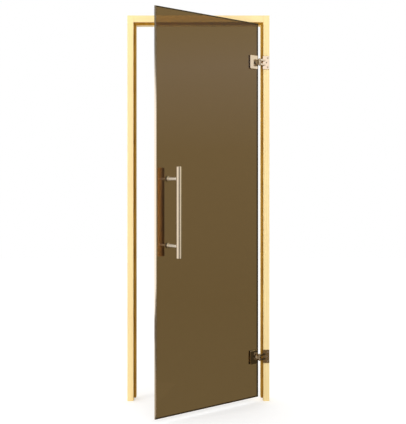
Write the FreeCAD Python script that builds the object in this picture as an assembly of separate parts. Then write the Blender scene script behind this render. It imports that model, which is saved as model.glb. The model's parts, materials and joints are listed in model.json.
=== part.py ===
import FreeCAD, Part
import math
import os

# Sauna door: a bronze glass leaf hung on two plate hinges in a three-sided pine frame,
# with a through-bolted pair of handles, a steel tube outside and a wooden bar inside.
# All lengths are millimetres. X runs to the right, Y away from the viewer, Z up.
# The origin lies on the outer side face of the hinge jamb, at mid-depth, level with its foot.
# The hinge jamb is on the right and the leaf stands part-open towards the viewer.

V = FreeCAD.Vector
UP = V(0, 0, 1)

# Frame
FRAME_WIDTH = 700.0
FRAME_HEIGHT = 1900.0
FRAME_DEPTH = 55.0
JAMB_FACE = 30.0
HEAD_FACE = 33.0
LEDGE_WIDTH = 12.0
REBATE_DEPTH = 16.7
LEDGE_FOOT_NOTCH = 13.0
EDGE_ROUND = 1.5
SEAL_WIDTH = 11.4
SEAL_DEPTH = 2.0
SEAL_INSET = 0.3

# Glass leaf
GLASS_THICKNESS = 8.0
HINGE_SIDE_GAP = 8.5
LATCH_SIDE_GAP = 6.0
HEAD_GAP = 7.0
FLOOR_GAP = 22.0
GLASS_ARRIS = 1.0
OPEN_ANGLE = 39.3

# Hinges
UPPER_HINGE_DROP = 233.0
LOWER_HINGE_HEIGHT = 221.0
PIVOT_INSET = 19.5
PIVOT_FORWARD = 22.0
HINGE_HEIGHT = 66.0
FRAME_PLATE_OUTER_MARGIN = 1.0
FRAME_PLATE_OVERHANG = 3.4
FRAME_PLATE_THICKNESS = 4.0
PLATE_CORNER = 3.0
PLATE_EDGE_CHAMFER = 0.8
KNUCKLE_DIAMETER = 16.0
KNUCKLE_CHAMFER = 0.8
FRAME_KNUCKLE_HEIGHT = 8.0
LEAF_KNUCKLE_HEIGHT = 13.0
KNUCKLE_PLAY = 0.3
PIN_DIAMETER = 8.0
PIN_CLEARANCE = 0.05
PIN_CAP_DIAMETER = 12.0
PIN_CAP_HEIGHT = 2.5
PIN_CAP_CHAMFER = 1.5
WEB_LANDING = 16.0
CLAMP_PLATE_LENGTH = 48.0
CLAMP_PLATE_THICKNESS = 5.0
CLAMP_EDGE_MARGIN = 9.0
GASKET_THICKNESS = 1.0
GASKET_MARGIN = 1.5
CLAMP_SCREW_DIAMETER = 5.0
CLAMP_SCREW_SPACING = 36.0
CLAMP_SCREW_INSET = 22.0
CLAMP_SCREW_BITE = 3.5
CLAMP_HEAD_DIAMETER = 9.5
CLAMP_HEAD_HEIGHT = 2.6
CLAMP_HEAD_CHAMFER = 1.4
GLASS_HOLE_CLEARANCE = 2.5
FRAME_SCREW_DIAMETER = 4.5
FRAME_SCREW_HEAD = 8.5
FRAME_SCREW_LENGTH = 35.0
FRAME_SCREW_OUTER_INSET = 8.0
FRAME_SCREW_STAGGER = 6.0
FRAME_SCREW_SPREAD = 22.5
SCREW_FIT = 0.1
DRIVE_WIDTH = 3.0
DRIVE_DEPTH = 1.2

# Handles
HANDLE_EDGE_DISTANCE = 72.5
HANDLE_HEIGHT = 941.0
TUBE_DIAMETER = 25.0
TUBE_WALL = 1.5
TUBE_LENGTH = 402.0
TUBE_STANDOFF = 65.0
TUBE_END_TO_FIXING = 51.5
TUBE_CAP_THICKNESS = 2.5
TUBE_CAP_CHAMFER = 1.2
TUBE_CAP_PLUG = 8.0
BAR_DIAMETER = 31.0
BAR_LENGTH = 402.0
BAR_STANDOFF = 34.0
BAR_END_CHAMFER = 2.5
STANDOFF_DIAMETER = 12.0
ROSETTE_DIAMETER = 24.0
ROSETTE_HEIGHT = 8.0
ROSETTE_RIM = 2.4
ROSETTE_SHOULDER = 1.6
COLLAR_NECK_DIAMETER = 16.0
HANDLE_WASHER_DIAMETER = 22.0
HANDLE_WASHER_THICKNESS = 1.0
HANDLE_BOLT_DIAMETER = 6.0
HANDLE_BOLT_BITE = 12.0
HANDLE_GLASS_HOLE = 10.0

# Places that follow from the sizes above
FRONT_Y = -FRAME_DEPTH / 2
BACK_Y = FRAME_DEPTH / 2
LEDGE_Y = FRONT_Y + REBATE_DEPTH
LATCH_X = -FRAME_WIDTH
HEAD_UNDERSIDE = FRAME_HEIGHT - HEAD_FACE
UPPER_HINGE_HEIGHT = FRAME_HEIGHT - UPPER_HINGE_DROP
LEDGE_REACH = JAMB_FACE + LEDGE_WIDTH
GLASS_HINGE_X = -(JAMB_FACE + HINGE_SIDE_GAP)
GLASS_LATCH_X = LATCH_X + JAMB_FACE + LATCH_SIDE_GAP
GLASS_FRONT_Y = FRONT_Y
GLASS_BACK_Y = FRONT_Y + GLASS_THICKNESS
GLASS_TOP = HEAD_UNDERSIDE - HEAD_GAP
PIVOT = V(-(JAMB_FACE + PIVOT_INSET), FRONT_Y - PIVOT_FORWARD, 0)
CLAMP_HINGE_X = GLASS_HINGE_X - CLAMP_EDGE_MARGIN
HANDLE_X = GLASS_LATCH_X + HANDLE_EDGE_DISTANCE
KNUCKLE_STACK = 2 * FRAME_KNUCKLE_HEIGHT + LEAF_KNUCKLE_HEIGHT + 2 * KNUCKLE_PLAY


def box(x_low, x_high, y_low, y_high, z_low, z_high):
    """A block between its lowest and highest corners."""
    return Part.makeBox(x_high - x_low, y_high - y_low, z_high - z_low, V(x_low, y_low, z_low))


def rod(diameter, length, start, direction):
    """A round rod from its start point along a direction."""
    return Part.makeCylinder(diameter / 2, length, start, direction)


def prism(points, z_low, height):
    """A flat outline in X and Y raised to a height."""
    corners = [V(x, y, z_low) for x, y in points]
    return Part.Face(Part.makePolygon(corners + corners[:1])).extrude(UP * height)


def edges_where(solid, test):
    """The straight edges whose two ends pass a test."""
    return [edge for edge in solid.Edges
            if len(edge.Vertexes) == 2 and test(edge.Vertexes[0].Point, edge.Vertexes[1].Point)]


def faces_at(solid, axis, place):
    """The flat faces square to an axis (0 for X, 1 for Y, 2 for Z) at a place on it."""
    return [face for face in solid.Faces
            if abs(face.BoundBox.getPoint(0)[axis] - place) < 1e-6
            and abs(face.BoundBox.getPoint(6)[axis] - place) < 1e-6]


def chamfer_face_rim(solid, axis, place, size):
    """Chamfers the outer rim of the flat face square to an axis at a place on it."""
    rims = [edge for face in faces_at(solid, axis, place) for edge in face.OuterWire.Edges]
    return solid.makeChamfer(size, rims)


def plate(x_low, x_high, y_low, y_high, centre_z, corner, show_y):
    """An upright plate with rounded corners and a chamfered rim on its show face."""
    blank = box(x_low, x_high, y_low, y_high, centre_z - HINGE_HEIGHT / 2, centre_z + HINGE_HEIGHT / 2)
    corners = edges_where(blank, lambda a, b: abs(a.x - b.x) < 1e-6 and abs(a.z - b.z) < 1e-6)
    rounded = blank.makeFillet(corner, corners)
    return chamfer_face_rim(rounded, 1, show_y, PLATE_EDGE_CHAMFER)


def opened(shape):
    """Turns a piece of the closed leaf to the part-open place where it stands at rest."""
    turned = shape.copy()
    turned.rotate(PIVOT, UP, OPEN_ANGLE)
    return turned


def jamb(outer_x, inward):
    """One jamb: a rebated post whose ledge stops short of the floor; inward is +1 or -1."""
    face_edge = outer_x + inward * JAMB_FACE
    ledge_edge = outer_x + inward * LEDGE_REACH
    outline = [(outer_x, FRONT_Y), (face_edge, FRONT_Y), (face_edge, LEDGE_Y),
               (ledge_edge, LEDGE_Y), (ledge_edge, BACK_Y), (outer_x, BACK_Y)]
    post = prism(outline, 0, FRAME_HEIGHT)
    front_arrises = edges_where(post, lambda a, b: abs(a.y - FRONT_Y) < 1e-6 and abs(b.y - FRONT_Y) < 1e-6
                                and abs(a.x - b.x) < 1e-6)
    post = post.makeFillet(EDGE_ROUND, front_arrises)
    notch = box(min(face_edge, ledge_edge + inward), max(face_edge, ledge_edge + inward),
                LEDGE_Y - 1, BACK_Y + 1, -1, LEDGE_FOOT_NOTCH)
    return post.cut(notch)


def head():
    """The head: its face runs between the jambs and its ledge between their ledges."""
    face = box(LATCH_X + JAMB_FACE, -JAMB_FACE, FRONT_Y, LEDGE_Y, HEAD_UNDERSIDE, FRAME_HEIGHT)
    long_arrises = edges_where(face, lambda a, b: abs(a.y - FRONT_Y) < 1e-6 and abs(b.y - FRONT_Y) < 1e-6
                               and abs(a.z - b.z) < 1e-6)
    face = face.makeFillet(EDGE_ROUND, long_arrises)
    ledge = box(LATCH_X + LEDGE_REACH, -LEDGE_REACH, LEDGE_Y, BACK_Y,
                HEAD_UNDERSIDE - LEDGE_WIDTH, FRAME_HEIGHT)
    return face.fuse(ledge).removeSplitter()


def seal_strip(length):
    """A seal strip along Z from the origin: a flat back with a domed front, standing towards -Y."""
    half = SEAL_WIDTH / 2
    shoulder = -SEAL_DEPTH / 2
    back = [V(half, shoulder, 0), V(half, 0, 0), V(-half, 0, 0), V(-half, shoulder, 0)]
    sides = [Part.LineSegment(back[i], back[i + 1]).toShape() for i in range(3)]
    dome = Part.Arc(back[3], V(0, -SEAL_DEPTH, 0), back[0]).toShape()
    return Part.Face(Part.Wire(sides + [dome])).extrude(UP * length)


def jamb_seal(outer_x, inward):
    """The seal on one jamb's ledge, from the notch up to the head seal."""
    seal = seal_strip(HEAD_UNDERSIDE - SEAL_INSET - SEAL_WIDTH - LEDGE_FOOT_NOTCH)
    middle = outer_x + inward * (JAMB_FACE + SEAL_INSET + SEAL_WIDTH / 2)
    seal.translate(V(middle, LEDGE_Y, LEDGE_FOOT_NOTCH))
    return seal


def head_seal():
    """The seal on the head's ledge, running across the tops of the jamb seals."""
    length = FRAME_WIDTH - 2 * (JAMB_FACE + SEAL_INSET)
    seal = seal_strip(length)
    seal.rotate(V(0, 0, 0), V(0, 1, 0), 90)
    seal.translate(V(LATCH_X + JAMB_FACE + SEAL_INSET, LEDGE_Y,
                     HEAD_UNDERSIDE - SEAL_INSET - SEAL_WIDTH / 2))
    return seal


def frame_screw_places(centre_z):
    """Centres of one frame plate's three screws: the outer two in line, the middle one further in."""
    outer_x = -FRAME_PLATE_OUTER_MARGIN - FRAME_SCREW_OUTER_INSET
    return [V(outer_x, 0, centre_z - FRAME_SCREW_SPREAD),
            V(outer_x - FRAME_SCREW_STAGGER, 0, centre_z),
            V(outer_x, 0, centre_z + FRAME_SCREW_SPREAD)]


def countersunk_blank(place, growth):
    """A countersunk screw with its head flush in the frame plate, made larger by a growth."""
    show_y = FRONT_Y - FRAME_PLATE_THICKNESS
    head_radius = FRAME_SCREW_HEAD / 2 + growth
    shank_radius = FRAME_SCREW_DIAMETER / 2 + growth
    cone_height = (FRAME_SCREW_HEAD - FRAME_SCREW_DIAMETER) / 2
    cone = Part.makeCone(head_radius, shank_radius, cone_height, V(place.x, show_y, place.z), V(0, 1, 0))
    shank = rod(2 * shank_radius, FRAME_SCREW_LENGTH - cone_height,
                V(place.x, show_y + cone_height, place.z), V(0, 1, 0))
    return cone.fuse(shank)


def frame_screws(centre_z):
    """The three countersunk screws of one frame plate, each with a square drive recess."""
    show_y = FRONT_Y - FRAME_PLATE_THICKNESS
    screws = []
    for place in frame_screw_places(centre_z):
        half = DRIVE_WIDTH / 2
        drive = box(place.x - half, place.x + half, show_y - 1, show_y + DRIVE_DEPTH,
                    place.z - half, place.z + half)
        screws.append(countersunk_blank(place, 0).cut(drive))
    return Part.makeCompound(screws)


def knuckle(z_low, height):
    """One barrel of the hinge with both rims chamfered, still without its bore."""
    barrel = rod(KNUCKLE_DIAMETER, height, V(PIVOT.x, PIVOT.y, z_low), UP)
    return barrel.makeChamfer(KNUCKLE_CHAMFER, [edge for edge in barrel.Edges if edge.Closed])


def button(diameter, height, chamfer, seat, direction):
    """A round head that stands on its seat, with a chamfered outer rim."""
    head_disc = rod(diameter, height, seat, direction)
    far = seat + direction * height
    rim = [edge for edge in head_disc.Edges if edge.Closed and edge.Curve.TypeId == "Part::GeomCircle"
           and edge.Curve.Center.distanceToPoint(far) < 1e-6]
    return head_disc.makeChamfer(chamfer, rim)


def tangent_point(outside, side):
    """Where the line from a point outside the barrel touches it, on its left (+1) or right (-1)."""
    away = outside - PIVOT
    radius = KNUCKLE_DIAMETER / 2
    turn = side * math.acos(radius / away.Length)
    heading = math.atan2(away.y, away.x) + turn
    return V(PIVOT.x + radius * math.cos(heading), PIVOT.y + radius * math.sin(heading), 0)


def knuckle_web(left_landing, right_landing, z_low, height):
    """A web from two landing points on a plate to tangents of the barrel, as seen from the pivot."""
    left_touch = tangent_point(left_landing, 1)
    right_touch = tangent_point(right_landing, -1)
    corners = [left_landing, left_touch, PIVOT, right_touch, right_landing]
    return prism([(corner.x, corner.y) for corner in corners], z_low, height)


def pin_bore(centre_z):
    """The bore through the whole knuckle stack, larger than the pin by its running clearance."""
    return rod(PIN_DIAMETER + 2 * PIN_CLEARANCE, KNUCKLE_STACK + 2,
               V(PIVOT.x, PIVOT.y, centre_z - KNUCKLE_STACK / 2 - 1), UP)


def hinge_frame_plate(centre_z):
    """The plate screwed to the jamb, with its two knuckles above and below the leaf's."""
    plate_front = FRONT_Y - FRAME_PLATE_THICKNESS
    plate_inner = -(JAMB_FACE + FRAME_PLATE_OVERHANG)
    body = plate(plate_inner, -FRAME_PLATE_OUTER_MARGIN, plate_front, FRONT_Y, centre_z,
                 PLATE_CORNER, plate_front)
    inner_landing = V(plate_inner, plate_front + FRAME_PLATE_THICKNESS / 2, 0)
    outer_landing = V(plate_inner + WEB_LANDING, plate_front + FRAME_PLATE_THICKNESS / 2, 0)
    knuckle_lows = [centre_z - KNUCKLE_STACK / 2,
                    centre_z + KNUCKLE_STACK / 2 - FRAME_KNUCKLE_HEIGHT]
    for z_low in knuckle_lows:
        body = body.fuse(knuckle(z_low, FRAME_KNUCKLE_HEIGHT))
        body = body.fuse(knuckle_web(inner_landing, outer_landing, z_low, FRAME_KNUCKLE_HEIGHT))
    body = body.cut(pin_bore(centre_z))
    for place in frame_screw_places(centre_z):
        body = body.cut(countersunk_blank(place, SCREW_FIT))
    return body.removeSplitter()


def hinge_pin(centre_z):
    """The hinge pin: a plain shaft with a button cap on each end of the knuckle stack."""
    half = KNUCKLE_STACK / 2
    shaft = rod(PIN_DIAMETER, KNUCKLE_STACK, V(PIVOT.x, PIVOT.y, centre_z - half), UP)
    for direction in (1, -1):
        seat = V(PIVOT.x, PIVOT.y, centre_z + direction * half)
        shaft = shaft.fuse(button(PIN_CAP_DIAMETER, PIN_CAP_HEIGHT, PIN_CAP_CHAMFER, seat, UP * direction))
    return shaft.removeSplitter()


def clamp_screw_places(centre_z):
    """Centres of the two screws that draw a hinge's clamp plates together."""
    x = CLAMP_HINGE_X - CLAMP_SCREW_INSET
    return [V(x, 0, centre_z - CLAMP_SCREW_SPACING / 2), V(x, 0, centre_z + CLAMP_SCREW_SPACING / 2)]


def clamp_plate_front(centre_z):
    """The outer clamp plate, carrying the leaf's middle knuckle, tapped from behind."""
    back = GLASS_FRONT_Y - GASKET_THICKNESS
    front = back - CLAMP_PLATE_THICKNESS
    body = plate(CLAMP_HINGE_X - CLAMP_PLATE_LENGTH, CLAMP_HINGE_X, front, back, centre_z,
                 PLATE_CORNER, front)
    z_low = centre_z - LEAF_KNUCKLE_HEIGHT / 2
    near_landing = V(CLAMP_HINGE_X - PLATE_EDGE_CHAMFER, front + CLAMP_PLATE_THICKNESS / 2, 0)
    far_landing = V(CLAMP_HINGE_X - WEB_LANDING, front + CLAMP_PLATE_THICKNESS / 2, 0)
    body = body.fuse(knuckle(z_low, LEAF_KNUCKLE_HEIGHT))
    body = body.fuse(knuckle_web(far_landing, near_landing, z_low, LEAF_KNUCKLE_HEIGHT))
    body = body.cut(pin_bore(centre_z))
    for place in clamp_screw_places(centre_z):
        tapped = rod(CLAMP_SCREW_DIAMETER + 2 * SCREW_FIT, CLAMP_SCREW_BITE + 1 + SCREW_FIT,
                     V(place.x, back + 1, place.z), V(0, -1, 0))
        body = body.cut(tapped)
    return body.removeSplitter()


def clamp_plate_back(centre_z):
    """The inner clamp plate, drilled for the clamp screws."""
    front = GLASS_BACK_Y + GASKET_THICKNESS
    back = front + CLAMP_PLATE_THICKNESS
    body = plate(CLAMP_HINGE_X - CLAMP_PLATE_LENGTH, CLAMP_HINGE_X, front, back, centre_z,
                 PLATE_CORNER, back)
    for place in clamp_screw_places(centre_z):
        body = body.cut(rod(CLAMP_SCREW_DIAMETER + 2 * SCREW_FIT, CLAMP_PLATE_THICKNESS + 2,
                            V(place.x, front - 1, place.z), V(0, 1, 0)))
    return body


def gasket(centre_z, y_low):
    """A thin gasket between a clamp plate and the glass, set in from the plate's rim."""
    x_low = CLAMP_HINGE_X - CLAMP_PLATE_LENGTH + GASKET_MARGIN
    pad = box(x_low, CLAMP_HINGE_X - GASKET_MARGIN, y_low, y_low + GASKET_THICKNESS,
              centre_z - HINGE_HEIGHT / 2 + GASKET_MARGIN, centre_z + HINGE_HEIGHT / 2 - GASKET_MARGIN)
    for place in clamp_screw_places(centre_z):
        pad = pad.cut(rod(CLAMP_SCREW_DIAMETER + 2 * SCREW_FIT, GASKET_THICKNESS + 2,
                          V(place.x, y_low - 1, place.z), V(0, 1, 0)))
    return pad


def clamp_screws(centre_z):
    """The two button-headed screws that pass from the inside through the glass to the outer plate."""
    seat = GLASS_BACK_Y + GASKET_THICKNESS + CLAMP_PLATE_THICKNESS
    length = seat - (GLASS_FRONT_Y - GASKET_THICKNESS) + CLAMP_SCREW_BITE
    screws = []
    for place in clamp_screw_places(centre_z):
        shank = rod(CLAMP_SCREW_DIAMETER, length, V(place.x, seat, place.z), V(0, -1, 0))
        screw_head = button(CLAMP_HEAD_DIAMETER, CLAMP_HEAD_HEIGHT, CLAMP_HEAD_CHAMFER,
                            V(place.x, seat, place.z), V(0, 1, 0))
        drive = rod(DRIVE_WIDTH, DRIVE_DEPTH + 1,
                    V(place.x, seat + CLAMP_HEAD_HEIGHT + 1, place.z), V(0, -1, 0))
        screws.append(shank.fuse(screw_head).cut(drive).removeSplitter())
    return Part.makeCompound(screws)


def handle_places():
    """The two through-fixings of the handles, lower then upper, set in from the tube's ends."""
    half = TUBE_LENGTH / 2 - TUBE_END_TO_FIXING
    return [V(HANDLE_X, 0, HANDLE_HEIGHT - half), V(HANDLE_X, 0, HANDLE_HEIGHT + half)]


def glass_leaf():
    """The toughened glass with ground arrises, drilled for the hinges and the handles."""
    sheet = box(GLASS_LATCH_X, GLASS_HINGE_X, GLASS_FRONT_Y, GLASS_BACK_Y, FLOOR_GAP, GLASS_TOP)
    sheet = chamfer_face_rim(sheet, 1, GLASS_FRONT_Y, GLASS_ARRIS)
    sheet = chamfer_face_rim(sheet, 1, GLASS_BACK_Y, GLASS_ARRIS)
    holes = [(place, CLAMP_SCREW_DIAMETER + 2 * GLASS_HOLE_CLEARANCE)
             for centre_z in (LOWER_HINGE_HEIGHT, UPPER_HINGE_HEIGHT)
             for place in clamp_screw_places(centre_z)]
    holes += [(place, HANDLE_GLASS_HOLE) for place in handle_places()]
    for place, diameter in holes:
        sheet = sheet.cut(rod(diameter, GLASS_THICKNESS + 2,
                              V(place.x, GLASS_FRONT_Y - 1, place.z), V(0, 1, 0)))
    return sheet


def handle_washer(place, y_low):
    """A thin washer between a handle's rosette and the glass."""
    disc = rod(HANDLE_WASHER_DIAMETER, HANDLE_WASHER_THICKNESS, V(place.x, y_low, place.z), V(0, 1, 0))
    bore = rod(HANDLE_BOLT_DIAMETER + 2 * SCREW_FIT, HANDLE_WASHER_THICKNESS + 2,
               V(place.x, y_low - 1, place.z), V(0, 1, 0))
    return disc.cut(bore)


def rosette(place, seat_y, outward):
    """A turned collar at the foot of a standoff: a wide foot that slopes in to a neck."""
    foot = ROSETTE_DIAMETER / 2
    neck = COLLAR_NECK_DIAMETER / 2
    bore = STANDOFF_DIAMETER / 2 + SCREW_FIT
    shoulder_y = ROSETTE_RIM + ROSETTE_SHOULDER
    profile = [V(bore, 0, 0), V(foot, 0, 0), V(foot, ROSETTE_RIM, 0),
               V(foot - ROSETTE_SHOULDER, shoulder_y, 0), V(neck, ROSETTE_HEIGHT, 0),
               V(bore, ROSETTE_HEIGHT, 0)]
    turned = Part.Face(Part.makePolygon(profile + profile[:1])).revolve(V(0, 0, 0), V(0, 1, 0), 360)
    if outward < 0:
        turned.rotate(V(0, 0, 0), V(1, 0, 0), 180)
    turned.translate(V(place.x, seat_y, place.z))
    return turned


def standoff(place, seat_y, outward, length, bar_diameter):
    """A standoff post whose outer end is coped to the round bar, bored and tapped for the bolt."""
    post = rod(STANDOFF_DIAMETER, length + bar_diameter / 2, V(place.x, seat_y, place.z),
               V(0, outward, 0))
    bar_centre_y = seat_y + outward * (length + bar_diameter / 2)
    bar_space = rod(bar_diameter, 4 * STANDOFF_DIAMETER,
                    V(place.x, bar_centre_y, place.z - 2 * STANDOFF_DIAMETER), UP)
    bolt_space = rod(HANDLE_BOLT_DIAMETER + 2 * SCREW_FIT, HANDLE_BOLT_BITE + SCREW_FIT + 1,
                     V(place.x, seat_y - outward, place.z), V(0, outward, 0))
    return post.cut(bar_space).cut(bolt_space)


def handle_bolts():
    """The two studs that pass through the glass and pull both handles together."""
    y_low = GLASS_FRONT_Y - HANDLE_WASHER_THICKNESS - HANDLE_BOLT_BITE
    y_high = GLASS_BACK_Y + HANDLE_WASHER_THICKNESS + HANDLE_BOLT_BITE
    return Part.makeCompound([rod(HANDLE_BOLT_DIAMETER, y_high - y_low, V(place.x, y_low, place.z),
                                  V(0, 1, 0)) for place in handle_places()])


def handle_tube():
    """The steel tube of the outer handle, upright and hollow."""
    centre_y = GLASS_FRONT_Y - HANDLE_WASHER_THICKNESS - TUBE_STANDOFF - TUBE_DIAMETER / 2
    start = V(HANDLE_X, centre_y, HANDLE_HEIGHT - TUBE_LENGTH / 2)
    tube = rod(TUBE_DIAMETER, TUBE_LENGTH, start, UP)
    return tube.cut(rod(TUBE_DIAMETER - 2 * TUBE_WALL, TUBE_LENGTH + 2, start - UP, UP))


def tube_cap(direction):
    """An end cap of the steel tube: a chamfered disc with a plug inside the bore."""
    centre_y = GLASS_FRONT_Y - HANDLE_WASHER_THICKNESS - TUBE_STANDOFF - TUBE_DIAMETER / 2
    end = V(HANDLE_X, centre_y, HANDLE_HEIGHT + direction * TUBE_LENGTH / 2)
    disc = button(TUBE_DIAMETER, TUBE_CAP_THICKNESS, TUBE_CAP_CHAMFER, end, UP * direction)
    plug = rod(TUBE_DIAMETER - 2 * TUBE_WALL - 2 * SCREW_FIT, TUBE_CAP_PLUG, end, UP * -direction)
    return disc.fuse(plug)


def handle_bar():
    """The round wooden bar of the inner handle, with eased ends."""
    centre_y = GLASS_BACK_Y + HANDLE_WASHER_THICKNESS + BAR_STANDOFF + BAR_DIAMETER / 2
    bar = rod(BAR_DIAMETER, BAR_LENGTH, V(HANDLE_X, centre_y, HANDLE_HEIGHT - BAR_LENGTH / 2), UP)
    return bar.makeChamfer(BAR_END_CHAMFER, [edge for edge in bar.Edges if edge.Closed])


def frame_parts():
    """Every piece that stays with the frame."""
    parts = {
        "left_jamb": jamb(LATCH_X, 1),
        "right_jamb": jamb(0, -1),
        "head": head(),
        "left_seal": jamb_seal(LATCH_X, 1),
        "right_seal": jamb_seal(0, -1),
        "head_seal": head_seal(),
    }
    for name, centre_z in (("upper", UPPER_HINGE_HEIGHT), ("lower", LOWER_HINGE_HEIGHT)):
        for place in frame_screw_places(centre_z):
            parts["right_jamb"] = parts["right_jamb"].cut(countersunk_blank(place, SCREW_FIT))
        parts[name + "_hinge_frame_plate"] = hinge_frame_plate(centre_z)
        parts[name + "_hinge_pin"] = hinge_pin(centre_z)
        parts[name + "_hinge_frame_screws"] = frame_screws(centre_z)
    return parts


def leaf_parts():
    """Every piece that swings with the glass, in its closed place."""
    parts = {"glass_leaf": glass_leaf()}
    for name, centre_z in (("upper", UPPER_HINGE_HEIGHT), ("lower", LOWER_HINGE_HEIGHT)):
        parts[name + "_hinge_front_clamp"] = clamp_plate_front(centre_z)
        parts[name + "_hinge_back_clamp"] = clamp_plate_back(centre_z)
        parts[name + "_hinge_front_gasket"] = gasket(centre_z, GLASS_FRONT_Y - GASKET_THICKNESS)
        parts[name + "_hinge_back_gasket"] = gasket(centre_z, GLASS_BACK_Y)
        parts[name + "_hinge_clamp_screws"] = clamp_screws(centre_z)
    front_seat = GLASS_FRONT_Y - HANDLE_WASHER_THICKNESS
    back_seat = GLASS_BACK_Y + HANDLE_WASHER_THICKNESS
    parts["steel_handle_tube"] = handle_tube()
    parts["wooden_handle_bar"] = handle_bar()
    parts["handle_bolts"] = handle_bolts()
    for name, place, direction in zip(("lower", "upper"), handle_places(), (-1, 1)):
        parts[name + "_tube_cap"] = tube_cap(direction)
        parts[name + "_front_standoff"] = standoff(place, front_seat, -1, TUBE_STANDOFF, TUBE_DIAMETER)
        parts[name + "_back_standoff"] = standoff(place, back_seat, 1, BAR_STANDOFF, BAR_DIAMETER)
        parts[name + "_front_rosette"] = rosette(place, front_seat, -1)
        parts[name + "_back_rosette"] = rosette(place, back_seat, 1)
        washers = [handle_washer(place, front_seat), handle_washer(place, GLASS_BACK_Y)]
        parts[name + "_handle_washers"] = Part.makeCompound(washers)
    return {name: opened(shape) for name, shape in parts.items()}


def main():
    """Builds every piece and writes one file for each."""
    os.makedirs("parts", exist_ok=True)
    for name, shape in {**frame_parts(), **leaf_parts()}.items():
        shape.exportStep("parts/" + name + ".step")
        print(name, len(shape.Solids), "solid", "valid" if shape.isValid() else "NOT VALID")


main()
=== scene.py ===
import json
import logging
import math
from dataclasses import dataclass
from enum import Enum
from typing import Any, Iterable, Union

import bpy
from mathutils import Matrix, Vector


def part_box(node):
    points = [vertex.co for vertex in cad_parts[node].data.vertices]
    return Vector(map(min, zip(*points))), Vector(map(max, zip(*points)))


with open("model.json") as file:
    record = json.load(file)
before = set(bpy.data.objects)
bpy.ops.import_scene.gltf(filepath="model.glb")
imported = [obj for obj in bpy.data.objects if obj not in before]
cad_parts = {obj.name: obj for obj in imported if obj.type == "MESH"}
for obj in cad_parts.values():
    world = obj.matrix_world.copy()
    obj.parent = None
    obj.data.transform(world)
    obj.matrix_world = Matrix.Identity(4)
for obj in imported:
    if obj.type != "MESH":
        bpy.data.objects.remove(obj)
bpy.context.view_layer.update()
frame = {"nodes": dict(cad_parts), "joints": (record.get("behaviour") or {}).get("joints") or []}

# Lengths are metres, in the row frame: X to the right, Y away from the viewer, Z up.

log = logging.getLogger("sauna_door")

Colour = tuple[float, float, float]
Number = Union[float, "Signal"]

SIDEWAYS = Vector((1, 0, 0))
INWARD = Vector((0, 1, 0))
UPWARD = Vector((0, 0, 1))


class Grain(Enum):
    """The way the fibres of a timber piece run."""

    UPRIGHT = "upright"
    LEVEL = "level"


class Level(Enum):
    """The two heights at which hinges and handle fixings sit."""

    UPPER = "upper"
    LOWER = "lower"


def display(red: int, green: int, blue: int) -> Colour:
    """Turns a colour as a screen shows it into the linear values that shaders use.

    Args:
        red: Red from 0 to 255.
        green: Green from 0 to 255.
        blue: Blue from 0 to 255.

    Returns:
        The linear colour.
    """
    def linear(value: int) -> float:
        """One channel of the colour."""
        share = value / 255
        return share / 12.92 if share <= 0.04045 else ((share + 0.055) / 1.055) ** 2.4

    return (linear(red), linear(green), linear(blue))


class Signal:
    """A shader socket that carries one number, so that shader maths reads as arithmetic."""

    def __init__(self, sheet: "NodeSheet", socket: bpy.types.NodeSocket) -> None:
        """Keeps the sheet that the socket belongs to.

        Args:
            sheet: The sheet that new nodes go on.
            socket: The output socket with the number.
        """
        self.sheet = sheet
        self.socket = socket

    def math(self, operation: str, *values: Number) -> "Signal":
        """Adds one Math node.

        Args:
            operation: The node's operation.
            values: The node's inputs, in order.

        Returns:
            The node's result.
        """
        node = self.sheet.node("ShaderNodeMath", {"operation": operation}, dict(enumerate(values)))
        return Signal(self.sheet, node.outputs[0])

    def __add__(self, other: Number) -> "Signal":
        """This number plus another."""
        return self.math("ADD", self, other)

    def __radd__(self, other: Number) -> "Signal":
        """Another number plus this one."""
        return self.math("ADD", other, self)

    def __sub__(self, other: Number) -> "Signal":
        """This number minus another."""
        return self.math("SUBTRACT", self, other)

    def __rsub__(self, other: Number) -> "Signal":
        """Another number minus this one."""
        return self.math("SUBTRACT", other, self)

    def __mul__(self, other: Number) -> "Signal":
        """This number times another."""
        return self.math("MULTIPLY", self, other)

    def __pow__(self, other: Number) -> "Signal":
        """This number to the power of another."""
        return self.math("POWER", self, other)

    def sine(self) -> "Signal":
        """The sine of this number of radians."""
        return self.math("SINE", self)

    def root(self) -> "Signal":
        """The square root of this number."""
        return self.math("SQRT", self)

    def step(self, low: float, high: float) -> "Signal":
        """A smooth step of this number.

        Args:
            low: Where the step starts.
            high: Where the step ends.

        Returns:
            0 below low, 1 above high and a smooth rise between them.
        """
        node = self.sheet.node("ShaderNodeMapRange", {"interpolation_type": "SMOOTHSTEP"},
                               {"Value": self, "From Min": low, "From Max": high})
        return Signal(self.sheet, node.outputs[0])


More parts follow.
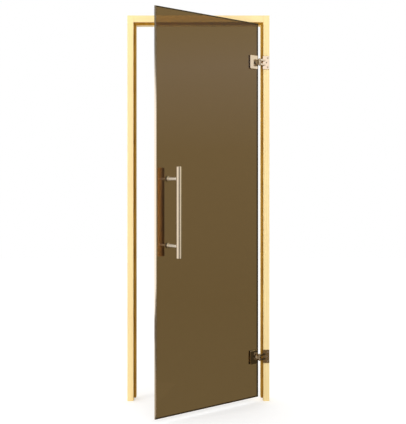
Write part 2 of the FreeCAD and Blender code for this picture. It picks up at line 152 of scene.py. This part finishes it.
class NodeSheet:
    """The node tree of one material or world."""

    def __init__(self, tree: bpy.types.NodeTree) -> None:
        """Starts with an empty tree.

        Args:
            tree: The tree that the nodes go in.
        """
        self.tree = tree
        tree.nodes.clear()

    def node(self, kind: str, settings: dict[str, Any] | None = None,
             inputs: dict[int | str, Any] | None = None) -> bpy.types.Node:
        """Adds a node, sets its options first and then its inputs.

        Args:
            kind: The node's type.
            settings: Its options; stops are a colour ramp's (place, colour) pairs.
            inputs: Values, sockets or signals by the input's name or number.

        Returns:
            The new node.
        """
        node = self.tree.nodes.new(kind)
        for name, value in (settings or {}).items():
            if name == "stops":
                self.set_stops(node.color_ramp, value)
            else:
                setattr(node, name, value)
        for key, value in (inputs or {}).items():
            self.join(node.inputs[key], value)
        return node

    def set_stops(self, ramp: bpy.types.ColorRamp, stops: list[tuple[float, Colour]]) -> None:
        """Gives a colour ramp its stops.

        Args:
            ramp: The ramp.
            stops: Places from 0 to 1 with their colours.
        """
        while len(ramp.elements) < len(stops):
            ramp.elements.new(1.0)
        for element, (place, colour) in zip(ramp.elements, stops):
            element.position = place
            element.color = (*colour, 1.0)

    def join(self, socket: bpy.types.NodeSocket, value: Any) -> None:
        """Links or sets one input.

        Args:
            socket: The input.
            value: A signal, an output socket, a colour or a number.
        """
        if isinstance(value, Signal):
            self.tree.links.new(value.socket, socket)
        elif isinstance(value, bpy.types.NodeSocket):
            self.tree.links.new(value, socket)
        elif socket.type == "RGBA" and len(value) == 3:
            socket.default_value = (*value, 1.0)
        else:
            socket.default_value = value

    def signal(self, node: bpy.types.Node, output: int | str = 0) -> Signal:
        """One of a node's outputs as a number."""
        return Signal(self, node.outputs[output])

    def mix(self, factor: Number, first: Any, second: Any) -> bpy.types.NodeSocket:
        """Mixes two colours.

        Args:
            factor: 0 gives the first colour and 1 the second.
            first: A colour or its socket.
            second: A colour or its socket.

        Returns:
            The socket of the mixed colour.
        """
        node = self.node("ShaderNodeMix", {"data_type": "RGBA"}, {0: factor, 6: first, 7: second})
        return node.outputs[2]

    def place(self) -> bpy.types.NodeSocket:
        """The point's own place on the piece, in metres, which moves with the piece."""
        return self.node("ShaderNodeTexCoord").outputs["Object"]

    def along(self, vector: bpy.types.NodeSocket, direction: Vector) -> Signal:
        """How far a vector reaches along a direction.

        Args:
            vector: The vector's socket.
            direction: The direction, of length 1.

        Returns:
            Their dot product.
        """
        node = self.node("ShaderNodeVectorMath", {"operation": "DOT_PRODUCT"},
                         {0: vector, 1: tuple(direction)})
        return self.signal(node, "Value")

    def stretched(self, scale: tuple[float, float, float], shift: tuple[float, float, float] = (0, 0, 0)
                  ) -> bpy.types.NodeSocket:
        """The point's place, stretched and shifted for a texture.

        Args:
            scale: How much each axis is multiplied.
            shift: What is added after that.

        Returns:
            The vector's socket.
        """
        node = self.node("ShaderNodeVectorMath", {"operation": "MULTIPLY_ADD"},
                         {0: self.place(), 1: scale, 2: shift})
        return node.outputs[0]

    def noise(self, vector: bpy.types.NodeSocket, detail: float = 3.0, roughness: float = 0.5) -> Signal:
        """Smooth noise from 0 to 1.

        Args:
            vector: Where it is read, one cell for each unit.
            detail: How many finer layers it has.
            roughness: How strong the finer layers are.

        Returns:
            The noise.
        """
        node = self.node("ShaderNodeTexNoise", {},
                         {"Vector": vector, "Scale": 1.0, "Detail": detail, "Roughness": roughness})
        return self.signal(node, 0)

    def bump(self, height: Number, depth: float, strength: float = 1.0) -> bpy.types.NodeSocket:
        """Small relief for the Normal input.

        Args:
            height: The relief, from 0 to 1.
            depth: How high 1 stands, in metres.
            strength: How much of the relief is used.

        Returns:
            The bumped normal's socket.
        """
        node = self.node("ShaderNodeBump", {}, {"Height": height, "Distance": depth, "Strength": strength})
        return node.outputs[0]


def new_material(name: str) -> tuple[bpy.types.Material, NodeSheet]:
    """Makes an empty material.

    Args:
        name: The finish's name.

    Returns:
        The material and its node sheet.
    """
    material = bpy.data.materials.new(name)
    material.use_nodes = True
    return material, NodeSheet(material.node_tree)


def finish_surface(sheet: NodeSheet, inputs: dict[str, Any]) -> None:
    """Ends a material with one Principled shader.

    Args:
        sheet: The material's node sheet.
        inputs: The shader's inputs.
    """
    shader = sheet.node("ShaderNodeBsdfPrincipled", {}, inputs)
    sheet.node("ShaderNodeOutputMaterial", {}, {"Surface": shader.outputs[0]})


@dataclass(frozen=True)
class PineFinish:
    """Planed and lacquered pine with faint rings and fine fibre."""

    grain: Grain
    early: Colour = display(255, 233, 172)
    late: Colour = display(243, 205, 128)
    flush: Colour = display(250, 214, 152)
    ring_pitch: float = 0.0045
    ring_wander: float = 0.016
    ring_sharpness: float = 2.5
    pith: tuple[float, float] = (0.13, 0.21)
    wander_scale: tuple[float, float] = (1.4, 9.0)
    fibre_scale: tuple[float, float] = (14.0, 900.0)
    flush_scale: tuple[float, float] = (2.2, 26.0)
    flush_shift: tuple[float, float, float] = (3.1, 1.7, 0.4)
    flush_share: float = 0.5
    relief: float = 0.00012

    def with_grain(self, scales: tuple[float, float]) -> tuple[float, float, float]:
        """Lays a texture's scales along the grain.

        Args:
            scales: The scale along the grain and the scale across it.

        Returns:
            The scale on each axis.
        """
        along, across = scales
        return (along, across, across) if self.grain is Grain.LEVEL else (across, across, along)

    def material(self, name: str) -> bpy.types.Material:
        """Builds the finish.

        Args:
            name: The material's name.

        Returns:
            The material.
        """
        material, sheet = new_material(name)
        face_axis = UPWARD if self.grain is Grain.LEVEL else SIDEWAYS
        wander = sheet.noise(sheet.stretched(self.with_grain(self.wander_scale)), 2.0)
        across = sheet.along(sheet.place(), face_axis)
        depth = sheet.along(sheet.place(), INWARD)
        reach = ((across + self.pith[0]) ** 2.0 + (depth + self.pith[1]) ** 2.0).root()
        rings = ((reach + wander * self.ring_wander) * (2 * math.pi / self.ring_pitch)).sine()
        latewood = (rings * 0.5 + 0.5) ** self.ring_sharpness
        fibre = sheet.noise(sheet.stretched(self.with_grain(self.fibre_scale)), 2.0, 0.6)
        broad = sheet.noise(sheet.stretched(self.with_grain(self.flush_scale), self.flush_shift), 2.0)
        ringed = sheet.mix(latewood * 0.62 + fibre * 0.12, self.early, self.late)
        colour = sheet.mix(broad.step(0.42, 0.72) * self.flush_share, ringed, self.flush)
        finish_surface(sheet, {
            "Base Color": colour,
            "Roughness": 0.36 + fibre * 0.16,
            "Normal": sheet.bump(fibre * 0.7 + latewood * 0.3, self.relief, 0.6),
            "Coat Weight": 0.15,
            "Coat Roughness": 0.3,
        })
        return material


@dataclass(frozen=True)
class SealFinish:
    """Soft brown seal with a faint cloud of wear."""

    colour: Colour = display(180, 132, 36)
    worn: Colour = display(152, 106, 20)
    wear_scale: tuple[float, float, float] = (60.0, 60.0, 9.0)
    fine_scale: tuple[float, float, float] = (1500.0, 1500.0, 1500.0)
    relief: float = 0.00004

    def material(self, name: str) -> bpy.types.Material:
        """Builds the finish.

        Args:
            name: The material's name.

        Returns:
            The material.
        """
        material, sheet = new_material(name)
        cloud = sheet.noise(sheet.stretched(self.wear_scale), 3.0)
        fine = sheet.noise(sheet.stretched(self.fine_scale), 2.0)
        finish_surface(sheet, {
            "Base Color": sheet.mix(cloud.step(0.35, 0.7), self.colour, self.worn),
            "Roughness": 0.6 + cloud * 0.15,
            "Specular IOR Level": 0.15,
            "Normal": sheet.bump(fine, self.relief),
        })
        return material


@dataclass(frozen=True)
class SteelFinish:
    """Stainless steel with fine brush marks along one axis."""

    colour: Colour = display(222, 211, 196)
    shade: Colour = display(198, 186, 170)
    roughness: float = 0.2
    metal: float = 1.0
    lines: tuple[float, float, float] = (2400.0, 2400.0, 30.0)
    mark: float = 0.00001
    smear_scale: tuple[float, float, float] = (38.0, 38.0, 22.0)

    def material(self, name: str) -> bpy.types.Material:
        """Builds the finish.

        Args:
            name: The material's name.

        Returns:
            The material.
        """
        material, sheet = new_material(name)
        brush = sheet.noise(sheet.stretched(self.lines), 2.0, 0.6)
        smear = sheet.noise(sheet.stretched(self.smear_scale), 3.0)
        finish_surface(sheet, {
            "Base Color": sheet.mix(brush * 0.5 + smear * 0.35, self.colour, self.shade),
            "Metallic": self.metal,
            "Roughness": self.roughness * 0.75 + brush * (self.roughness * 0.4) + smear * 0.05,
            "Normal": sheet.bump(brush, self.mark, 0.7),
        })
        return material


@dataclass(frozen=True)
class LeafEdges:
    """Where the glass sheet ends, and which way it reaches from its hinges."""

    reach: Vector
    free_side: float
    hinge_side: float
    top: float
    bottom: float


@dataclass(frozen=True)
class GlassFinish:
    """Bronze-tinted safety glass, drawn lighter towards the bottom by painted light, with a painted
    highlight on a polished strip along its free edge and painted shade along its other edges.
    """

    edges: LeafEdges
    # The glass body goes from the upper tint at the top to a lighter tint at the bottom: painted light, not
    # a change in the glass.
    upper_tint: Colour = (0.200, 0.127, 0.056)
    painted_lighter_lower_tint: Colour = (0.206, 0.143, 0.076)
    # Pale colour of the free-edge strip: a real polished arris drawn as near-mirror metal, a painted
    # highlight.
    polish_painted_glint: Colour = display(238, 230, 220)
    # Dark colour of the bands along the hinge edge, the top and the bottom: painted shade.
    painted_edge_shade: Colour = display(52, 37, 14)
    # Width of the polished strip that carries the painted highlight.
    polished_glint_strip: float = 0.006
    # Widths of the painted-shade bands along the hinge edge and along the top and bottom.
    hinge_shade_line: float = 0.007
    level_shade_line: float = 0.005
    soft_rim: float = 0.0006
    strip_fall: float = 0.0014
    bend: float = 1.46
    mirror: float = 0.25
    ripple_scale: tuple[float, float, float] = (5.0, 5.0, 1.6)
    ripple: float = 0.0002
    # How strongly the painted-shade bands are mixed in.
    side_shade_share: float = 0.75
    grind_scale: tuple[float, float, float] = (700.0, 700.0, 90.0)

    def material(self, name: str) -> bpy.types.Material:
        """Builds the finish.

        Args:
            name: The material's name.

        Returns:
            The material.
        """
        material, sheet = new_material(name)
        height = sheet.along(sheet.place(), UPWARD)
        along = sheet.along(sheet.place(), self.edges.reach)
        # Painted light: the body tint grows lighter towards the bottom.
        body = sheet.mix(height.step(self.edges.bottom, self.edges.top), self.painted_lighter_lower_tint, self.upper_tint)
        glass = sheet.node("ShaderNodeBsdfPrincipled", {}, {
            "Base Color": body,
            "Roughness": 0.0,
            "IOR": self.bend,
            "Specular IOR Level": self.mirror,
            "Transmission Weight": 1.0,
            "Normal": sheet.bump(sheet.noise(sheet.stretched(self.ripple_scale), 1.0), self.ripple, 0.15),
        })
        # The strip along the free edge: a polished arris with a painted highlight, drawn as bright metal.
        strip_start = self.edges.free_side - self.polished_glint_strip
        free = along.step(strip_start - self.soft_rim, strip_start)
        # Dark bands along the hinge edge, the top and the bottom: painted shade.
        hinge_end = self.edges.hinge_side + self.hinge_shade_line
        hinge = 1 - along.step(hinge_end, hinge_end + self.soft_rim)
        top_start = self.edges.top - self.level_shade_line
        top = height.step(top_start - self.soft_rim, top_start)
        bottom_end = self.edges.bottom + self.level_shade_line
        bottom = 1 - height.step(bottom_end, bottom_end + self.soft_rim)
        shaded_sides = hinge.math("MAXIMUM", hinge, top.math("MAXIMUM", top, bottom))
        glint_and_shade_rim = free.math("MAXIMUM", free, shaded_sides * self.side_shade_share)
        grind = sheet.noise(sheet.stretched(self.grind_scale), 2.0)
        slope = (along - strip_start) * (1 / self.polished_glint_strip)
        # The edge bands' shader: a painted highlight on the free-edge strip and painted shade on the other
        # edges.
        border = sheet.node("ShaderNodeBsdfPrincipled", {}, {
            "Base Color": sheet.mix(free, self.painted_edge_shade, self.polish_painted_glint),
            "Metallic": free * 0.95,
            "Roughness": 0.06 + grind * 0.06,
            "Specular IOR Level": 0.2,
            "Normal": sheet.bump(1 - slope * free, self.strip_fall),
        })
        surface = sheet.node("ShaderNodeMixShader", {}, {0: glint_and_shade_rim, 1: glass.outputs[0], 2: border.outputs[0]})
        sheet.node("ShaderNodeOutputMaterial", {}, {"Surface": surface.outputs[0]})
        return material


@dataclass(frozen=True)
class HandleWoodFinish:
    """Smooth, oiled round bar of warm, pale hardwood."""

    light: Colour = display(253, 214, 164)
    dark: Colour = display(238, 180, 122)
    streak_scale: tuple[float, float, float] = (160.0, 160.0, 5.0)
    pore_scale: tuple[float, float, float] = (1500.0, 1500.0, 40.0)
    relief: float = 0.00008

    def material(self, name: str) -> bpy.types.Material:
        """Builds the finish.

        Args:
            name: The material's name.

        Returns:
            The material.
        """
        material, sheet = new_material(name)
        streak = sheet.noise(sheet.stretched(self.streak_scale), 3.0, 0.6)
        pore = sheet.noise(sheet.stretched(self.pore_scale), 2.0)
        finish_surface(sheet, {
            "Base Color": sheet.mix(streak.step(0.3, 0.72) * 0.8 + pore * 0.12, self.light, self.dark),
            "Roughness": 0.34 + pore * 0.15,
            "Normal": sheet.bump(pore * 0.6 + streak * 0.4, self.relief, 0.6),
            "Coat Weight": 0.25,
            "Coat Roughness": 0.25,
        })
        return material


@dataclass(frozen=True)
class GasketFinish:
    """Thin translucent-grey plastic under the plates and collars."""

    colour: Colour = display(96, 84, 70)
    shade: float = 0.75
    cloud_scale: tuple[float, float, float] = (120.0, 120.0, 120.0)
    relief: float = 0.00005

    def material(self, name: str) -> bpy.types.Material:
        """Builds the finish.

        Args:
            name: The material's name.

        Returns:
            The material.
        """
        material, sheet = new_material(name)
        cloud = sheet.noise(sheet.stretched(self.cloud_scale), 2.0)
        finish_surface(sheet, {
            "Base Color": sheet.mix(cloud, self.colour, tuple(self.shade * part for part in self.colour)),
            "Roughness": 0.5 + cloud * 0.1,
            "Normal": sheet.bump(cloud, self.relief),
        })
        return material


def dress(names: Iterable[str], material: bpy.types.Material) -> None:
    """Gives CAD nodes a material in place of their own.

    Args:
        names: The nodes' names.
        material: Their finish.
    """
    for name in names:
        mesh = frame["nodes"][name].data
        mesh.materials.clear()
        mesh.materials.append(material)
        log.info("dressed %s with %s", name, material.name)


@dataclass
class TimberFrame:
    """The two jambs and the head, with the seals on their ledges."""

    jambs: tuple[str, str] = ("left_jamb", "right_jamb")
    head: str = "head"
    seals: tuple[str, ...] = ("left_seal", "right_seal", "head_seal")

    def dress(self) -> None:
        """Gives the timber and the seals their finishes."""
        dress(self.jambs, PineFinish(Grain.UPRIGHT).material("upright_pine"))
        dress([self.head], PineFinish(Grain.LEVEL).material("level_pine"))
        dress(self.seals, SealFinish().material("brown_seal"))


@dataclass
class Hinge:
    """One plate hinge: the plates, pin, gaskets and screws at one level."""

    level: Level
    steel_pieces: tuple[str, ...] = ("hinge_frame_plate", "hinge_pin", "hinge_front_clamp",
                                     "hinge_back_clamp")
    screw_pieces: tuple[str, ...] = ("hinge_frame_screws", "hinge_clamp_screws")
    gasket_pieces: tuple[str, ...] = ("hinge_front_gasket", "hinge_back_gasket")

    def names(self, pieces: Iterable[str]) -> list[str]:
        """The node names of some pieces of this hinge."""
        return [f"{self.level.value}_{piece}" for piece in pieces]

    def dress(self, plate: bpy.types.Material, screw: bpy.types.Material,
              gasket: bpy.types.Material) -> None:
        """Gives the pieces their finishes.

        Args:
            plate: The finish of the plates and the pin.
            screw: The finish of the screws.
            gasket: The finish of the gaskets.
        """
        dress(self.names(self.steel_pieces), plate)
        dress(self.names(self.screw_pieces), screw)
        dress(self.names(self.gasket_pieces), gasket)


@dataclass
class GlassLeaf:
    """The glass sheet that swings."""

    node: str = "glass_leaf"
    open_angle: float = 0.0

    def edges(self) -> LeafEdges:
        """Finds where the sheet ends.

        Returns:
            Its edges along its own reach and in height.
        """
        reach = Vector((-math.cos(self.open_angle), -math.sin(self.open_angle), 0))
        corners = [vertex.co for vertex in frame["nodes"][self.node].data.vertices]
        places = [corner.dot(reach) for corner in corners]
        heights = [corner.z for corner in corners]
        return LeafEdges(reach, max(places), min(places), max(heights), min(heights))

    def dress(self) -> None:
        """Gives the sheet its tinted glass, with a painted highlight along its free edge and painted shade
        along its other edges.
        """
        dress([self.node], GlassFinish(self.edges()).material("bronze_glass"))


@dataclass
class PullHandles:
    """The steel tube outside, the wooden bar inside and what holds them to the glass."""

    collars: tuple[str, ...] = ("tube_cap", "front_rosette", "back_rosette")
    standoffs: tuple[str, ...] = ("front_standoff", "back_standoff")

    def dress(self, steel: bpy.types.Material, satin: bpy.types.Material,
              gasket: bpy.types.Material) -> None:
        """Gives the pieces their finishes.

        Args:
            steel: The finish of the tube and collars.
            satin: The finish of the standoffs.
            gasket: The finish of the washers.
        """
        dress(["steel_handle_tube", "handle_bolts"], steel)
        for level in Level:
            dress([f"{level.value}_{piece}" for piece in self.collars], steel)
            dress([f"{level.value}_{piece}" for piece in self.standoffs], satin)
            dress([f"{level.value}_handle_washers"], gasket)
        dress(["wooden_handle_bar"], HandleWoodFinish().material("oiled_bar"))


@dataclass(frozen=True)
class Softbox:
    """One soft lamp: where it stands, where it points, its size and its power."""

    name: str
    place: tuple[float, float, float]
    target: tuple[float, float, float]
    width: float
    height: float
    power: float

    def build(self) -> None:
        """Makes the lamp."""
        data = bpy.data.lights.new(self.name, "AREA")
        data.shape = "RECTANGLE"
        data.size = self.width
        data.size_y = self.height
        data.energy = self.power
        lamp = bpy.data.objects.new(self.name, data)
        lamp.location = self.place
        aim = Vector(self.target) - Vector(self.place)
        lamp.rotation_euler = aim.to_track_quat("-Z", "Y").to_euler()
        lamp.visible_camera = False
        lamp.visible_glossy = False
        lamp.visible_transmission = False
        bpy.context.scene.collection.objects.link(lamp)
        log.info("built lamp %s", self.name)


@dataclass(frozen=True)
class Tone:
    """A colour at a height, of what stands round the door."""

    height: float
    colour: Colour


@dataclass(frozen=True)
class MirrorPanel:
    """A flat panel that only steel and glass see: it gives them something to reflect."""

    name: str
    corners: tuple[tuple[float, float, float], ...]
    tones: tuple[Tone, ...]

    def material(self) -> bpy.types.Material:
        """Builds the panel's glow, which goes softly from tone to tone with height.

        Returns:
            The material.
        """
        material, sheet = new_material(self.name)
        top = self.tones[-1].height + 1.0
        height = sheet.along(sheet.place(), UPWARD) * (1 / top)
        ramp = sheet.node("ShaderNodeValToRGB", {
            "stops": [(tone.height / top, tone.colour) for tone in self.tones]}, {0: height})
        glow = sheet.node("ShaderNodeEmission", {}, {"Color": ramp.outputs[0], "Strength": 1.0})
        sheet.node("ShaderNodeOutputMaterial", {}, {"Surface": glow.outputs[0]})
        return material

    def build(self) -> None:
        """Makes the panel."""
        mesh = bpy.data.meshes.new(self.name)
        mesh.from_pydata(self.corners, [], [tuple(range(len(self.corners)))])
        mesh.materials.append(self.material())
        panel = bpy.data.objects.new(self.name, mesh)
        bpy.context.scene.collection.objects.link(panel)
        panel.visible_camera = False
        panel.visible_diffuse = False
        panel.visible_transmission = False
        panel.visible_volume_scatter = False
        panel.visible_shadow = False


@dataclass(frozen=True)
class WallStretch:
    """One upright stretch of what stands round the door."""

    name: str
    start: tuple[float, float]
    end: tuple[float, float]
    tones: tuple[Tone, ...]
    high: float = 4.5

    def build(self) -> None:
        """Makes its panel."""
        corners = ((*self.start, 0), (*self.end, 0), (*self.end, self.high), (*self.start, self.high))
        MirrorPanel(self.name, corners, self.tones).build()


@dataclass(frozen=True)
class FloorPatch:
    """One stretch of floor as steel and glass see it."""

    name: str
    low: tuple[float, float]
    high: tuple[float, float]
    colour: Colour
    lift: float = 0.004

    def build(self) -> None:
        """Makes its panel."""
        (x_low, y_low), (x_high, y_high) = self.low, self.high
        corners = ((x_low, y_low, self.lift), (x_high, y_low, self.lift),
                   (x_high, y_high, self.lift), (x_low, y_high, self.lift))
        MirrorPanel(self.name, corners, (Tone(0.0, self.colour),)).build()


WHITE: Colour = (1.0, 1.0, 1.0)
BRIGHT: Colour = (1.15, 1.07, 0.95)
SUNLIT: Colour = (1.45, 1.33, 1.22)
WARM: Colour = (1.05, 0.88, 0.50)
SAND: Colour = (0.62, 0.55, 0.43)
HALF: Colour = (0.50, 0.44, 0.30)
BROWN: Colour = (0.20, 0.133, 0.062)
DARK: Colour = (0.055, 0.038, 0.016)


@dataclass
class Studio:
    """The floor, the surroundings, the lamps and the camera."""

    focal_px: float = 796.0
    image_width: int = 406
    image_height: int = 424
    axis_row: float = 189.0
    camera_x: float = -0.3273
    camera_height: float = 1.045
    camera_distance: float = 3.921
    floor_half: float = 8.0
    floor_colour: Colour = (0.86, 0.86, 0.86)
    floor_glow: float = 0.3
    surround: Colour = (0.69, 0.65, 0.49)
    ambient: float = 0.85
    lamps: tuple[Softbox, ...] = (
        Softbox("key_softbox", (-3.1, -2.1, 1.15), (-0.4, -0.2, 0.95), 1.0, 2.0, 41.0),
        Softbox("front_softbox", (-0.4, -4.8, 1.8), (-0.35, 0.0, 0.95), 3.6, 2.6, 47.0),
    )
    surroundings: tuple[WallStretch, ...] = (
        WallStretch("left_wall", (-3.5, 2.0), (-3.5, -1.5),
                    (Tone(0.0, BRIGHT), Tone(1.90, BRIGHT), Tone(2.20, DARK))),
        WallStretch("front_left_wall", (-3.5, -1.5), (-1.3, -5.0),
                    (Tone(0.0, BRIGHT), Tone(1.90, BRIGHT), Tone(2.20, HALF))),
        WallStretch("front_wall", (-1.3, -5.0), (2.2, -5.0),
                    (Tone(0.0, DARK), Tone(1.50, DARK), Tone(1.90, SUNLIT))),
        WallStretch("front_right_wall", (2.2, -5.0), (3.4, -1.6),
                    (Tone(0.0, BRIGHT), Tone(1.90, BRIGHT), Tone(2.20, DARK))),
        WallStretch("right_wall", (3.4, -1.6), (3.4, 2.0),
                    (Tone(0.0, DARK), Tone(1.40, HALF), Tone(2.20, BRIGHT), Tone(2.70, WARM))),
    )
    patches: tuple[FloorPatch, ...] = (
        FloorPatch("far_left_floor", (-3.5, -1.5), (-2.4, 7.0), BROWN),
        FloorPatch("near_left_floor", (-2.4, -1.5), (-0.6, 7.0), SAND),
        FloorPatch("front_floor", (-0.6, -3.0), (0.2, -0.5), BROWN),
        FloorPatch("far_front_floor", (-3.5, -5.0), (3.4, -3.0), BROWN),
        FloorPatch("front_left_floor", (-3.5, -3.0), (-0.6, -1.5), BROWN),
        FloorPatch("leaf_floor", (-0.6, -0.5), (0.2, 7.0), DARK),
        FloorPatch("right_floor", (0.2, -3.0), (3.4, 7.0), DARK),
    )

    def build_camera(self) -> None:
        """Makes the camera: level, square to the frame and framed like the photograph."""
        front_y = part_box("left_jamb")[0][1]
        data = bpy.data.cameras.new("camera")
        long_side = max(self.image_width, self.image_height)
        data.lens = data.sensor_width * self.focal_px / long_side
        data.shift_y = (self.axis_row - self.image_height / 2) / long_side
        camera = bpy.data.objects.new("camera", data)
        camera.location = (self.camera_x, front_y - self.camera_distance, self.camera_height)
        camera.rotation_euler = (math.radians(90), 0, 0)
        bpy.context.scene.collection.objects.link(camera)
        bpy.context.scene.camera = camera

    def mirrored(self, sheet: NodeSheet, paths: bpy.types.Node) -> Signal:
        """Whether a ray comes from steel or has passed through glass.

        Args:
            sheet: The node sheet in hand.
            paths: Its Light Path node.

        Returns:
            1 for such a ray and 0 for any other.
        """
        through = sheet.signal(paths, "Is Transmission Ray")
        return through.math("MAXIMUM", through, sheet.signal(paths, "Is Glossy Ray"))

    def build_floor(self) -> None:
        """Makes the pale floor, white to the camera apart from the door's soft shadow."""
        mesh = bpy.data.meshes.new("floor")
        half = self.floor_half
        mesh.from_pydata([(-half, -half, 0), (half, -half, 0), (half, half, 0), (-half, half, 0)], [],
                         [(0, 1, 2, 3)])
        floor = bpy.data.objects.new("floor", mesh)
        bpy.context.scene.collection.objects.link(floor)
        material, sheet = new_material("pale_floor")
        paths = sheet.node("ShaderNodeLightPath")
        matt = sheet.node("ShaderNodeBsdfDiffuse", {}, {"Color": self.floor_colour})
        glow = sheet.node("ShaderNodeEmission", {}, {"Color": WHITE, "Strength": self.floor_glow})
        seen = sheet.node("ShaderNodeAddShader", {}, {0: matt.outputs[0], 1: glow.outputs[0]})
        pale = sheet.node("ShaderNodeEmission", {}, {"Color": self.surround, "Strength": 1.0})
        direct = sheet.node("ShaderNodeMixShader", {}, {
            0: paths.outputs["Is Camera Ray"], 1: matt.outputs[0], 2: seen.outputs[0]})
        final = sheet.node("ShaderNodeMixShader", {}, {
            0: self.mirrored(sheet, paths), 1: direct.outputs[0], 2: pale.outputs[0]})
        sheet.node("ShaderNodeOutputMaterial", {}, {"Surface": final.outputs[0]})
        mesh.materials.append(material)

    def build_world(self) -> None:
        """Makes the surroundings: white behind the door, pale in glass and metal, soft on surfaces."""
        world = bpy.data.worlds.new("surroundings")
        bpy.context.scene.world = world
        world.use_nodes = True
        sheet = NodeSheet(world.node_tree)
        paths = sheet.node("ShaderNodeLightPath")
        soft = sheet.node("ShaderNodeBackground", {}, {"Color": WHITE, "Strength": self.ambient})
        white = sheet.node("ShaderNodeBackground", {}, {"Color": WHITE, "Strength": 1.0})
        pale = sheet.node("ShaderNodeBackground", {}, {"Color": self.surround, "Strength": 1.0})
        first = sheet.node("ShaderNodeMixShader", {}, {
            0: self.mirrored(sheet, paths), 1: soft.outputs[0], 2: pale.outputs[0]})
        final = sheet.node("ShaderNodeMixShader", {}, {
            0: paths.outputs["Is Camera Ray"], 1: first.outputs[0], 2: white.outputs[0]})
        sheet.node("ShaderNodeOutputWorld", {}, {"Surface": final.outputs[0]})

    def build(self) -> None:
        """Builds the whole studio."""
        self.build_camera()
        self.build_floor()
        self.build_world()
        for piece in (*self.lamps, *self.surroundings, *self.patches):
            piece.build()
        bpy.context.scene.view_settings.view_transform = "Standard"
        log.info("built the studio")


def main() -> None:
    """Builds and dresses every sub-assembly in order."""
    open_angle = -math.radians(frame["joints"][0]["range_deg"][0])
    gasket = GasketFinish().material("grey_gasket")
    plate = SteelFinish(roughness=0.1, lines=(1200.0, 1200.0, 1200.0)).material("hinge_steel")
    screw = SteelFinish(roughness=0.45, lines=(900.0, 900.0, 900.0)).material("screw_steel")
    TimberFrame().dress()
    for level in Level:
        Hinge(level).dress(plate, screw, gasket)
    GlassLeaf(open_angle=open_angle).dress()
    tube = SteelFinish(roughness=0.05, mark=0.000004).material("handle_steel")
    satin = SteelFinish(colour=display(244, 232, 214), roughness=0.4, metal=0.4).material("satin_steel")
    PullHandles().dress(tube, satin, gasket)
    Studio().build()


if __name__ == "__main__":
    logging.basicConfig(level=logging.INFO, format="%(message)s")
    main()
